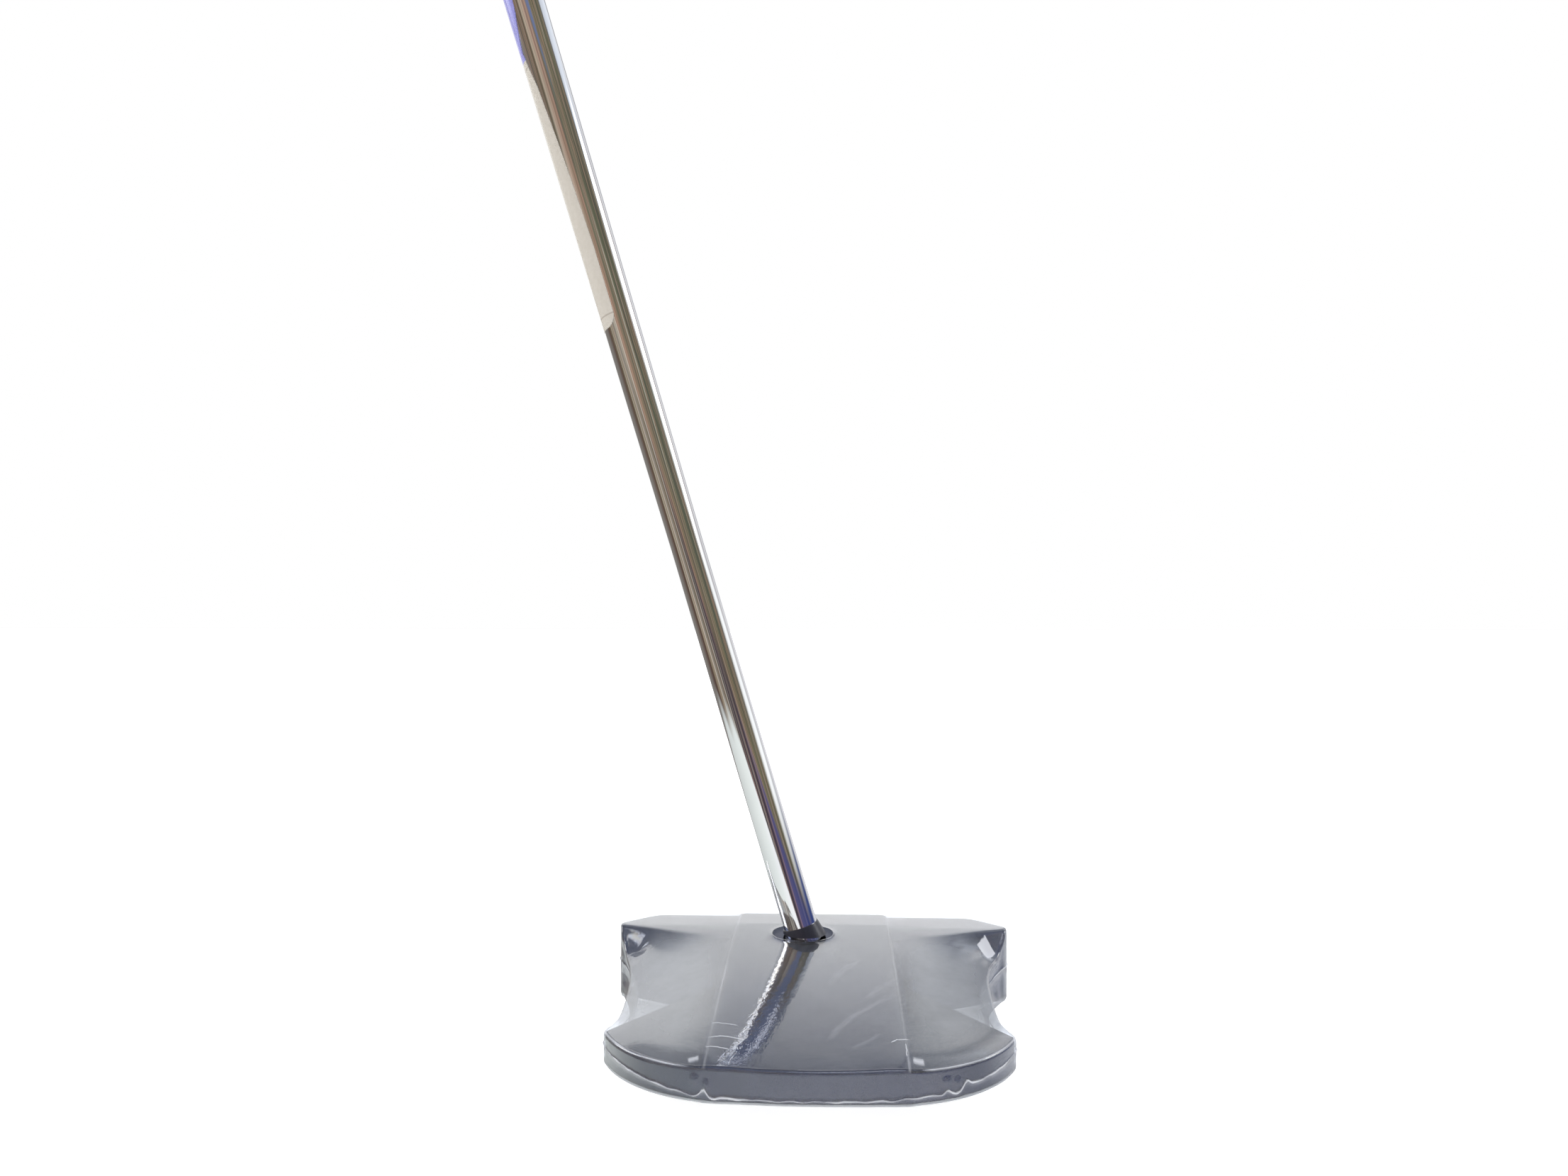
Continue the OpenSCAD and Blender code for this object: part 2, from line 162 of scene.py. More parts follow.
def make_world():
    """Soft studio surroundings: a white sweep behind, tall soft boxes at the sides, a dim room in front."""
    world = bpy.data.worlds.new("studio")
    world.use_nodes = True
    scene.world = world
    t = Tree(world.node_tree)
    direction = t.add("TexCoord").outputs["Generated"]
    x, y, z = t.xyz(direction)
    azimuth = t.math("ARCTAN2", x, t.times(y, -1.0))
    wobble = t.noise(direction, 3.0, 2.0)
    turn = t.math("MULTIPLY_ADD", azimuth, 0.5 / math.pi, 0.5)
    turn = t.plus(turn, t.times(t.minus(wobble, 0.5), 0.03))
    low = t.ramp(turn, around([
        (-180, (238, 238, 240)), (-160, (205, 205, 206)), (-148, (128, 124, 120)),
        (-110, (120, 114, 108)), (-84, (78, 56, 50)), (-66, (150, 138, 120)), (-48, (168, 160, 150)),
        (-36, (90, 78, 70)), (-20, (44, 46, 70)), (8, (50, 50, 70)), (14, (92, 82, 90)),
        (22, (186, 150, 136)), (34, (140, 120, 96)), (62, (122, 108, 84)), (72, (60, 52, 50)),
        (84, (98, 88, 72)), (108, (60, 72, 84)), (128, (200, 200, 204)), (180, (238, 238, 240)),
    ]))
    mid = t.ramp(turn, around([
        (-180, (240, 240, 240)), (-135, (226, 228, 226)), (-112, (132, 128, 122)), (-72, (112, 104, 98)),
        (-52, (98, 84, 72)), (-40, (212, 208, 196)), (-24, (170, 140, 124)), (4, (132, 118, 98)),
        (26, (102, 98, 80)), (74, (96, 96, 80)), (88, (250, 252, 252)), (112, (250, 252, 252)),
        (124, (186, 184, 186)), (148, (226, 226, 228)), (158, (120, 120, 124)), (168, (238, 238, 240)),
        (180, (240, 240, 240)),
    ]))
    top = t.ramp(turn, around([
        (-180, (250, 250, 250)), (-162, (244, 246, 250)), (-148, (60, 64, 84)), (-92, (54, 60, 82)),
        (-84, (240, 242, 248)), (-54, (246, 246, 248)), (-46, (92, 96, 120)), (6, (96, 98, 116)),
        (18, (104, 102, 86)), (87, (100, 100, 86)), (96, (240, 246, 255)), (146, (240, 246, 255)),
        (156, (80, 86, 104)), (168, (244, 246, 250)), (180, (250, 250, 250)),
    ]))
    high = t.ramp(turn, around([
        (-180, (246, 246, 246)), (-132, (230, 230, 230)), (-116, (96, 90, 86)), (-88, (146, 132, 120)),
        (-62, (98, 80, 66)), (-46, (104, 88, 74)), (-37, (196, 184, 168)), (-16, (170, 136, 120)),
        (0, (116, 112, 98)), (24, (98, 104, 88)), (74, (82, 84, 74)), (88, (250, 252, 252)),
        (110, (250, 252, 252)), (122, (170, 166, 168)), (148, (228, 228, 230)), (158, (120, 120, 124)),
        (168, (242, 242, 244)), (180, (246, 246, 246)),
    ]))
    streak_coords = t.mapped(direction, (6.5, 6.5, 0.7))
    streaks = t.noise(streak_coords, 1.0, 3.0, 0.62)
    front = t.times(y, -1.0)
    room = t.mix(t.span(z, 0.06, 0.20), low, mid)
    room = t.mix(t.span(z, 0.20, 0.34), room, high)
    room = t.mix(t.span(z, 0.58, 0.68), room, top)
    dim = t.times(t.span(front, -0.2, 0.3), t.span(z, -0.30, -0.24))
    streaked = t.ramp(streaks, [
        (0.34, srgb(30, 34, 70)), (0.41, srgb(78, 54, 44)), (0.46, srgb(104, 112, 84)),
        (0.50, srgb(96, 92, 70)), (0.53, srgb(196, 150, 130)), (0.57, srgb(104, 92, 76)),
        (0.64, srgb(224, 216, 202)),
    ])
    room = t.mix(t.times(dim, 0.44), room, streaked)
    # Something blue stands low in the room, on the toe's side of the camera
    blue = t.times(t.span(azimuth, 0.18, 0.5), t.span(azimuth, 2.0, 2.3, 1.0, 0.0))
    blue = t.times(blue, t.span(z, 0.08, 0.14, 1.0, 0.0))
    room = t.mix(t.times(blue, 0.75), room, srgb(40, 58, 124))
    # The sweep behind fades into the ceiling slowly; over the camera the dark begins at once
    facing = t.span(front, -0.15, 0.2)
    lowered = t.minus(z, t.span(azimuth, 0.10, 0.50, 0.0, 0.30))
    ceiling = t.mix(facing, t.span(z, 0.55, 1.04), t.span(lowered, 0.54, 0.60))
    sky = t.mix(ceiling, room, t.mix(facing, srgb(34, 44, 76), srgb(106, 116, 150)))
    # Soft boxes: one low at each side, and a narrow high one on the heel's side
    tint = t.noise(direction, 7.0, 2.0)
    glow = t.mix(t.span(tint, 0.42, 0.60), (4.6, 4.9, 5.6, 1), (5.0, 4.7, 4.1, 1))

    def soft_box(room, first, last, low_z, high_z, strength):
        left, right = (first + 180) / 360, (last + 180) / 360
        across = t.times(t.span(turn, left - 0.01, left + 0.01),
                        t.span(turn, right - 0.01, right + 0.01, 1.0, 0.0))
        along = t.times(t.span(z, low_z - 0.03, low_z + 0.03),
                       t.span(z, high_z - 0.03, high_z + 0.03, 1.0, 0.0))
        return t.mix(t.times(t.times(across, along), strength), room, glow)

    sky = soft_box(sky, -114, -90, 0.25, 0.68, 0.8)
    sky = soft_box(sky, -75, -65, 0.64, 0.84, 1.0)
    sky = soft_box(sky, 92, 116, 0.40, 0.66, 0.8)
    # One small lamp over the camera's shoulder
    lamp = Vector((0.10, -0.42, 0.90)).normalized()
    dot = t.add("VectorMath", {0: direction, 1: lamp}, operation="DOT_PRODUCT")
    sky = t.mix(t.span(dot.outputs["Value"], 0.980, 0.986), sky, (1.9, 1.95, 2.2, 1))
    # The pale floor, as the gloss sees it
    reach = t.span(azimuth, -1.45, -0.40, 0.0, 0.16)
    floor_side = t.span(t.minus(z, reach), -0.33, -0.29, 1.0, 0.0)
    ground = t.ramp(turn, around([
        (-180, (238, 238, 238)), (-162, (120, 120, 124)), (-140, (198, 202, 200)),
        (-86, (214, 219, 216)), (-38, (228, 233, 230)), (-12, (240, 241, 242)), (40, (244, 243, 246)),
        (86, (176, 180, 192)), (140, (190, 192, 198)), (162, (120, 122, 128)), (180, (238, 238, 238)),
    ]))
    sky = t.mix(floor_side, sky, ground)
    bright = t.add("Background", {"Color": sky, "Strength": 1.15})
    plain = t.add("Background", {"Color": (1, 1, 1, 1)})
    seen = t.add("LightPath").outputs["Is Camera Ray"]
    t.add("OutputWorld", {"Surface": t.blend(seen, bright.outputs[0], plain.outputs[0])})


def make_floor():
    mesh = bpy.data.meshes.new("floor")
    half = 3.0
    corners = [(-half, -half, 0), (half, -half, 0), (half, half, 0), (-half, half, 0)]
    mesh.from_pydata(corners, [], [(0, 1, 2, 3)])
    floor = bpy.data.objects.new("floor", mesh)
    scene.collection.objects.link(floor)
    material = bpy.data.materials.new("floor")
    material.use_nodes = True
    t = Tree(material.node_tree)
    white = t.add("BsdfDiffuse", {"Color": (0.94, 0.94, 0.95, 1)})
    glow = t.add("Emission", {"Strength": 0.88})
    both = t.add("AddShader", {0: white.outputs[0], 1: glow.outputs[0]})
    t.add("OutputMaterial", {"Surface": both.outputs[0]})
    mesh.materials.append(material)
    floor.visible_glossy = False


def make_key():
    data = bpy.data.lights.new("key", "AREA")
    data.shape = "DISK"
    data.size = 1.2
    data.energy = 14
    key = bpy.data.objects.new("key", data)
    key.location = (0.15, -0.25, 1.6)
    key.rotation_euler = (Vector((0.15, -0.25, 1.55))).to_track_quat("Z", "Y").to_euler()
    key.visible_glossy = False
    scene.collection.objects.link(key)


make_camera()
make_world()
make_floor()
make_key()
scene.view_settings.view_transform = "Standard"
scene.view_settings.look = "None"


# ---- materials

def start_material(name):
    """A material with a Principled node. Returns it, its tree, the node and the object coordinates."""
    material = bpy.data.materials.new(name)
    material.use_nodes = True
    t = Tree(material.node_tree)
    shader = t.add("BsdfPrincipled")
    t.add("OutputMaterial", {"Surface": shader.outputs[0]})
    coords = t.add("TexCoord").outputs["Object"]
    return material, t, shader, coords


def surface(t, shader, colour, rough, normal, metal=0.0):
    values = {"Base Color": colour, "Roughness": rough, "Normal": normal, "Metallic": metal}
    for name, value in values.items():
        t.put(shader.inputs[name], value)


def worn(name, dark, light, rough, metal=0.0, scale=900, bump=0.1, depth=0.00004,
         stretch=(1, 1, 1), coat=0.0):
    """A general finish: two tones that drift, roughness that varies with wear, and a fine grain."""
    material, t, shader, coords = start_material(name)
    drift = t.noise(coords, scale * 0.06, 4.0, 0.6)
    grain_coords = t.mapped(coords, stretch)
    grain = t.noise(grain_coords, scale, 4.0, 0.65)
    tone = t.plus(t.times(drift, 0.6), t.times(grain, 0.4))
    surface(t, shader, t.mix(t.span(tone, 0.32, 0.68), dark, light),
            t.span(tone, 0.3, 0.7, *rough), t.bump(grain, bump, depth), metal)
    shader.inputs["Coat Weight"].default_value = coat
    shader.inputs["Coat Roughness"].default_value = 0.12
    return material


def turned(name, centres, dark, light, rough, spacing):
    """Machined steel with lathe rings round each centre, all rings about +Z."""
    material, t, shader, coords = start_material(name)
    x, y, _ = t.xyz(coords)
    distance = None
    for cx, cy in centres:
        dx = t.minus(x, cx)
        dy = t.minus(y, cy)
        reach = t.math("SQRT", t.plus(t.times(dx, dx), t.times(dy, dy)))
        distance = reach if distance is None else t.math("MINIMUM", distance, reach)
    rings = t.math("SINE", t.times(distance, 2 * math.pi / spacing))
    drift = t.noise(coords, 220, 4.0, 0.6)
    tone = t.plus(t.times(rings, 0.18), drift)
    surface(t, shader, t.mix(t.span(tone, 0.2, 0.8), dark, light),
            t.span(drift, 0.3, 0.7, *rough), t.bump(rings, 0.25, 0.00003), 1.0)
    return material


def head_finish(name, dark, light, rough):
    """Satin black plating over a fine blasted grain."""
    material, t, shader, coords = start_material(name)
    drift = t.noise(coords, 45, 4.0, 0.6)
    grain = t.noise(coords, 5200, 3.0, 0.7)
    pits = t.noise(coords, 1500, 2.0, 0.5)
    tone = t.plus(t.times(drift, 0.5), t.times(grain, 0.5))
    blasted = t.bump(grain, 0.16, 0.00004)
    surface(t, shader, t.mix(t.span(drift, 0.3, 0.7), dark, light),
            t.span(tone, 0.3, 0.7, *rough), t.bump(pits, 0.05, 0.00006, blasted), 1.0)
    return material


def dress(node, material):
    """Gives a CAD node's own mesh a finish."""
    mesh = nodes[node].data
    mesh.materials.clear()
    mesh.materials.append(material)


# ---- meshes

def new_piece(name, points, faces, material):
    mesh = bpy.data.meshes.new(name)
    mesh.from_pydata([tuple(p) for p in np.asarray(points, float) * MM], [], faces)
    mesh.validate()
    for polygon in mesh.polygons:
        polygon.use_smooth = True
    mesh.materials.append(material)
    piece = bpy.data.objects.new(name, mesh)
    scene.collection.objects.link(piece)
    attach(piece, "root")
    return piece


def paint(piece, name, values):
    """One number per vertex, for the material to read."""
    piece.data.attributes.new(name, "FLOAT", "POINT").data.foreach_set("value", values)


def ring_faces(rows, count, first=0, flip=False):
    """Quads between rows of a closed ring grid."""
    faces = []
    for k in range(rows - 1):
        a = first + k * count
        b = a + count
        for i in range(count):
            j = (i + 1) % count
            quad = (a + i, a + j, b + j, b + i)
            faces.append(quad[::-1] if flip else quad)
    return faces


# Shaft frame, as the CAD has it: the axis leaves the plate at ENTRY
ENTRY = np.array([-2.5, -2.6, 24.0])
LEAN_HEEL, LEAN_FRONT = math.radians(17), math.radians(3)


def axes_of_shaft():
    """Unit vectors across the shaft, then along it."""
    ca, sa = math.cos(-LEAN_FRONT), math.sin(-LEAN_FRONT)
    cb, sb = math.cos(-LEAN_HEEL), math.sin(-LEAN_HEEL)
    about_x = np.array([[1, 0, 0], [0, ca, -sa], [0, sa, ca]])
    about_y = np.array([[cb, 0, sb], [0, 1, 0], [-sb, 0, cb]])
    both = about_y @ about_x
    return both[:, 0], both[:, 1], both[:, 2]


ACROSS, FORTH, UP = axes_of_shaft()


def on_shaft(radius, angle, height):
    """Points at a radius, an angle and a height on the shaft's axis. Arrays are fine."""
    radius, angle, height = np.broadcast_arrays(radius, angle, height)
    return (ENTRY + np.multiply.outer(radius * np.cos(angle), ACROSS)
            + np.multiply.outer(radius * np.sin(angle), FORTH) + np.multiply.outer(height, UP))


# ---- the film over the head

FACE_Y, BACK_Y = 16.2, -66.8
CROWN_Z, CROWN_R, CROWN_KINK, BEND_Y = 23.2, 434.0, math.radians(5), 5.0
PLATE_T, PLATE_BEVEL = 0.8, 1.3
PLATE_FRONT, PLATE_BACK = 20.3, 22.5
FLANGE_TOP, FLANGE_LOW = 11.3, 4.2
SPINE_HALF = 23.9
SKIN = 0.35
SOLE_Z, CAMBER_X, CAMBER_Y = 0.35, 430.0, 220.0
MID_Y = (FACE_Y + BACK_Y) / 2
TIP, BREAK, NECK = np.array([57.3, 5.2]), np.array([45.3, FACE_Y]), np.array([22.2, -3.6])
CORNER, CORNER_R, HORN_ANGLE = np.array([17.7, -31.3]), 34.5, -26.0


def unit(v):
    return v / np.linalg.norm(v)


def rounded(a, b, c, r, n=8):
    """Arc that rounds corner b between a and c."""
    u, v = unit(a - b), unit(c - b)
    half = math.acos(float(u @ v)) / 2
    m = b + unit(u + v) * r / math.sin(half)
    p, q = b + u * r / math.tan(half) - m, b + v * r / math.tan(half) - m
    a0 = math.atan2(p[1], p[0])
    da = (math.atan2(q[1], q[0]) - a0 + math.pi) % (2 * math.pi) - math.pi
    return [m + r * np.array([math.cos(a0 + da * i / n), math.sin(a0 + da * i / n)]) for i in range(n + 1)]


def horn_point(degrees):
    return CORNER + CORNER_R * np.array([math.cos(math.radians(degrees)), math.sin(math.radians(degrees))])


def crown(y):
    """Height of the metal's top: level over the bar, then a kink and a long arc."""
    back = np.clip(BEND_Y - y, 0, None) + CROWN_R * math.sin(CROWN_KINK)
    return CROWN_Z - (CROWN_R * math.cos(CROWN_KINK) - np.sqrt(CROWN_R**2 - back**2))


def plate_half(y):
    return PLATE_FRONT + (PLATE_BACK - PLATE_FRONT) * (FACE_Y - y) / (FACE_Y - BACK_Y)


def sole(x, y):
    """Height of the cambered underside."""
    along = CAMBER_X - np.sqrt(CAMBER_X**2 - np.square(x))
    across = CAMBER_Y - np.sqrt(CAMBER_Y**2 - np.square(y - MID_Y))
    return SOLE_Z + np.maximum(along, across)


def half_outline(waist):
    """Film outline of one side, from the face's middle to the back's: x, y, top and bottom height, bow."""
    bar = [(0.0, FACE_Y)] + rounded(np.array([0, FACE_Y]), BREAK, TIP, 7)
    bar += rounded(BREAK, TIP, NECK, 2.5, 10)[:8]
    rows = [(x, y, CROWN_Z + SKIN, float(sole(x, y)), 0.0) for x, y in bar] + waist
    horn_start = horn_point(HORN_ANGLE)
    tangent = np.array([-math.sin(math.radians(HORN_ANGLE)), math.cos(math.radians(HORN_ANGLE))])
    horn = horn_start + 2.6 * tangent
    flange = rounded(np.array([47.0, -36.0]), horn, horn_start, 2.4, 6)
    flange += [horn_point(HORN_ANGLE - (90 + HORN_ANGLE) * i / 24) for i in range(1, 25)]
    flange += [(CORNER[0] * (1 - i / 12), BACK_Y + (1 - i / 12) ** 2) for i in range(1, 13)]
    return np.array(rows + [(x, y, FLANGE_TOP + SKIN, FLANGE_LOW, 0.0) for x, y in flange])


TOE_WAIST = [
    (53.5, 2.8, 20.6, 3.9, 0.3), (52.6, 1.6, 18.2, 4.0, 0.6), (51.2, -1.6, 17.3, 4.2, 1.2),
    (49.6, -5.5, 17.3, 4.6, 1.8), (47.9, -10, 17.2, 5.0, 2.2), (46.7, -15, 16.6, 5.4, 2.4),
    (46.2, -20, 15.6, 5.5, 2.2), (46.2, -26, 14.6, 5.2, 1.6), (46.3, -32, 13.5, 4.8, 0.9),
    (46.8, -38, 12.6, 4.4, 0.4),
]
HEEL_WAIST = [
    (53.8, 2.9, 21.0, 3.9, 0.3), (52.9, 1.8, 18.4, 4.0, 0.6), (51.8, -1.6, 17.2, 4.2, 1.2),
    (50.6, -5.5, 16.8, 4.6, 1.8), (49.3, -10, 16.4, 5.0, 2.2), (48.2, -15, 15.8, 5.4, 2.4),
    (47.5, -20, 15.0, 5.5, 2.2), (47.1, -26, 14.1, 5.2, 1.6), (47.0, -32, 13.2, 4.8, 0.9),
    (47.2, -38, 12.5, 4.4, 0.4),
]


def gaussian(sigma, spread):
    """Half-length and weights of a Gaussian that ends at so many sigmas."""
    reach = int(math.ceil(sigma * spread))
    weights = np.exp(-0.5 * (np.arange(-reach, reach + 1) / sigma) ** 2)
    return reach, weights / weights.sum()


def smooth_ring(values, sigma):
    """Circular Gaussian blur along the first axis; sigma in samples."""
    reach, weights = gaussian(sigma, 4)
    out = np.zeros_like(values)
    for offset, weight in zip(range(-reach, reach + 1), weights):
        out += weight * np.roll(values, offset, axis=0)
    return out


def film_outline(count):
    """The whole outline, clockwise from the face's middle round the toe: columns x, y, top, bottom, bow."""
    toe = half_outline(TOE_WAIST)
    heel = half_outline(HEEL_WAIST)[::-1][1:-1].copy()
    heel[:, 0] *= -1
    loop = np.vstack([toe, heel])
    closed = np.vstack([loop, loop[:1]])
    steps = np.linalg.norm(np.diff(closed[:, :2], axis=0), axis=1) + 0.35 * np.abs(np.diff(closed[:, 2]))
    reach = np.concatenate([[0], np.cumsum(steps)])
    at = np.linspace(0, reach[-1], count, endpoint=False)
    ring = np.column_stack([np.interp(at, reach, closed[:, k]) for k in range(5)])
    ring = smooth_ring(ring, 1.6)
    ahead, behind = np.roll(ring[:, :2], -1, axis=0), np.roll(ring[:, :2], 1, axis=0)
    tangent = ahead - behind
    tangent /= np.linalg.norm(tangent, axis=1)[:, None]
    normal = np.column_stack([-tangent[:, 1], tangent[:, 0]])
    if np.sum(normal * ring[:, :2]) < 0:
        normal = -normal
    ring[:, :2] += normal * SKIN
    return ring, normal


def inside(px, py, loop):
    """Even-odd test of points against a closed outline."""
    hit = np.zeros(px.shape, bool)
    for (x0, y0), (x1, y1) in zip(loop, np.roll(loop, -1, axis=0)):
        if y0 == y1:
            continue
        cross = (py > min(y0, y1)) & (py <= max(y0, y1)) & (px < (x1 - x0) * (py - y0) / (y1 - y0) + x0)
        hit ^= cross
    return hit


def blur(field, sigma):
    reach, weights = gaussian(sigma, 3)
    for axis in (0, 1):
        padded = np.pad(field, [(reach, reach) if a == axis else (0, 0) for a in (0, 1)], mode="edge")
        size = field.shape[axis]
        field = sum(w * np.take(padded, range(i, i + size), axis=axis) for i, w in enumerate(weights))
    return field


class Sheet:
    """A film stretched over supports: relaxed as a membrane on ever finer grids, held at its outline."""

    X0, X1, Y0, Y1 = -62.0, 62.0, -73.0, 23.0

    def __init__(self, ring, heights, support, bound=None):
        field, step = None, 4.0
        while step >= 0.5:
            nx = int(round((self.X1 - self.X0) / step)) + 1
            ny = int(round((self.Y1 - self.Y0) / step)) + 1
            gx, gy = np.meshgrid(np.linspace(self.X0, self.X1, nx), np.linspace(self.Y0, self.Y1, ny))
            nearest = np.zeros(gx.shape)
            best = np.full(gx.shape, 1e9)
            for (x, y), h in zip(ring[::3, :2], heights[::3]):
                distance = (gx - x) ** 2 + (gy - y) ** 2
                closer = distance < best
                best[closer] = distance[closer]
                nearest[closer] = h
            free = inside(gx, gy, ring[:, :2])
            floor = support(gx, gy)
            roof = 1000.0 if bound is None else np.maximum(bound(gx, gy), floor)
            if field is None:
                field = nearest.copy()
            else:
                field = self.read(gx, gy)
            field = np.where(free, np.clip(field, floor, roof), nearest)
            for _ in range(700 if step > 0.6 else 420):
                mean = 0.25 * (np.roll(field, 1, 0) + np.roll(field, -1, 0)
                               + np.roll(field, 1, 1) + np.roll(field, -1, 1))
                field = np.where(free, np.clip(mean, floor, roof), nearest)
            self.step, self.field = step, field
            step /= 2
        # How much air lies under the film, drawn out softly, and none where it dips at the bar's tips
        air = blur(np.clip((self.field - floor) / 2.5, 0, 1) * free, 8.0)
        for side in (-1, 1):
            air = air * (1 - 0.85 * np.exp(-((gx - side * 48.5) ** 2 / 40 + (gy - 1.0) ** 2 / 26)))
        self.air = air
        self.field = blur(self.field, 1.1)

    def read(self, x, y, field=None):
        """Smooth value of a field, by default the height, at any point."""
        field = self.field if field is None else field
        u = np.clip((x - self.X0) / self.step, 1, self.field.shape[1] - 3.001)
        v = np.clip((y - self.Y0) / self.step, 1, self.field.shape[0] - 3.001)
        i, j = np.floor(u).astype(int), np.floor(v).astype(int)
        fu, fv = u - i, v - j
        total = 0
        for dj, wv in enumerate(self.weights(fv)):
            row = 0
            for di, wu in enumerate(self.weights(fu)):
                row = row + wu * field[j + dj - 1, i + di - 1]
            total = total + wv * row
        return total

    @staticmethod
    def weights(f):
        """Cubic B-spline weights, which give a surface with no creases at the grid's lines."""
        return ((1 - f) ** 3 / 6, (3 * f**3 - 6 * f**2 + 4) / 6,
                (-3 * f**3 + 3 * f**2 + 3 * f + 1) / 6, f**3 / 6)


def both_sides(points):
    points = np.array(points)
    return np.vstack([points, points[::-1] * [-1, 1]])


FLANGE_ROWS = 43
FLANGE_LOOP = both_sides(np.vstack([[NECK], half_outline(TOE_WAIST)[-FLANGE_ROWS:, :2]]))
BAR_LOOP = both_sides([np.array([0, FACE_Y])] + rounded(np.array([0, FACE_Y]), BREAK, TIP, 7)
                      + rounded(BREAK, TIP, NECK, 2.5) + [NECK])


def over_body(gx, gy):
    """True over the bar and the spine."""
    return (inside(gx, gy, BAR_LOOP) | (np.abs(gx) < SPINE_HALF)) & (gy < FACE_Y) & (gy > BACK_Y)


def crown_support(gx, gy):
    """Top of the metal under the film, raised by the film's outer side."""
    across = np.abs(gx)
    top = np.where(inside(gx, gy, FLANGE_LOOP), FLANGE_TOP, -50.0)
    top = np.where(over_body(gx, gy), np.maximum(top, crown(gy)), top)
    plate = crown(gy) + PLATE_T * np.clip((plate_half(gy) + PLATE_BEVEL - across) / PLATE_BEVEL, 0, 1)
    on_plate = (across < plate_half(gy) + PLATE_BEVEL) & (gy < FACE_Y) & (gy > BACK_Y)
    return np.where(on_plate, np.maximum(top, plate), top) + SKIN


def sole_support(gx, gy):
    """Underside of the metal, upside down so that the same membrane can be used."""
    low = np.where(inside(gx, gy, FLANGE_LOOP), FLANGE_LOW, 50.0)
    low = np.where(over_body(gx, gy), np.minimum(low, sole(gx, gy)), low)
    pad = (np.abs(gx) < 23) & (np.abs(gy + 22) < 26)
    return SKIN - np.where(pad, SOLE_Z, low)


# Middle and half-sizes of the hollow behind each tip
TIP_HOLLOWS = ((49.8, -2.8, 3.6, 2.8), (-49.4, -3.0, 3.8, 2.8))
HOLLOW_FLOOR = 17.7


def tip_dips(gx, gy):
    """Upper bound: the hollows that the film is drawn into behind the bar's two tips."""
    bound = np.full(gx.shape, 1000.0)
    for cx, cy, rx, ry in TIP_HOLLOWS:
        away = ((gx - cx) / rx) ** 2 + ((gy - cy) / ry) ** 2
        bound = np.where(away < 1, np.minimum(bound, HOLLOW_FLOOR + 2.2 * away), bound)
    return bound


HOLE_HALF, HOLE_R = 8.4, 5.0
SEGMENTS = 600


def hole_reach(angle):
    """Radius of the stadium opening from its middle at an angle."""
    c, s = np.abs(np.cos(angle)), np.abs(np.sin(angle))
    run = HOLE_HALF - HOLE_R
    flat = HOLE_R / np.maximum(s, 1e-6)
    cap = run * c + np.sqrt(np.clip(HOLE_R**2 - (run * s) ** 2, 0, None))
    return np.where(flat * c <= run, flat, cap)


def waves(x, y, seed, low, high, count, amplitude):
    """A smooth ripple: a sum of plane waves with wavelengths between low and high."""
    draw = np.random.default_rng(seed)
    total = 0.0
    for _ in range(count):
        length = draw.uniform(low, high)
        heading = draw.uniform(0, 2 * math.pi)
        phase = draw.uniform(0, 2 * math.pi)
        across = x * math.cos(heading) + y * math.sin(heading)
        total = total + np.sin(across * 2 * math.pi / length + phase)
    return amplitude * total / math.sqrt(count)


def bell(value, width):
    return np.exp(-np.square(value / width))


# Where the seam was pinched at the back: rise, x and half-width in millimetres
SEAM_SPIKES = ((1.5, -23.1, 0.8), (-0.45, -20.9, 1.2), (-0.4, -25.6, 1.4),
               (1.3, 36.1, 0.8), (-0.7, 33.6, 1.2), (0.7, 31.6, 0.6))
# The same two places are puckered: height, x, z and the half-widths in x and z
PUCKERS = ((0.55, -25.2, 9.0, 0.9, 1.0), (0.50, -22.6, 8.0, 0.8, 1.2),
           (0.55, 31.4, 8.8, 0.9, 0.9), (0.50, 34.0, 8.2, 0.8, 1.0))


def seam_height(ring):
    """Height of the weld seam round the skirt: low at the back, higher at the horns and the bar's ends."""
    x, y = ring[:, 0], ring[:, 1]
    base = np.interp(y, [-67, -64, -60, -52, -44, -30, -10, 0, 6, 17],
                     [5.2, 6.1, 7.0, 8.2, 9.0, 9.6, 10.4, 12.4, 13.6, 13.2])
    base = base + waves(x * 1.3, y, 11, 5.0, 18.0, 7, 0.17) + waves(x, y * 1.2, 12, 2.0, 4.5, 6, 0.05)
    for rise, at, width in SEAM_SPIKES:
        base = base + (y < -40) * rise * bell(x - at, width)
    return base


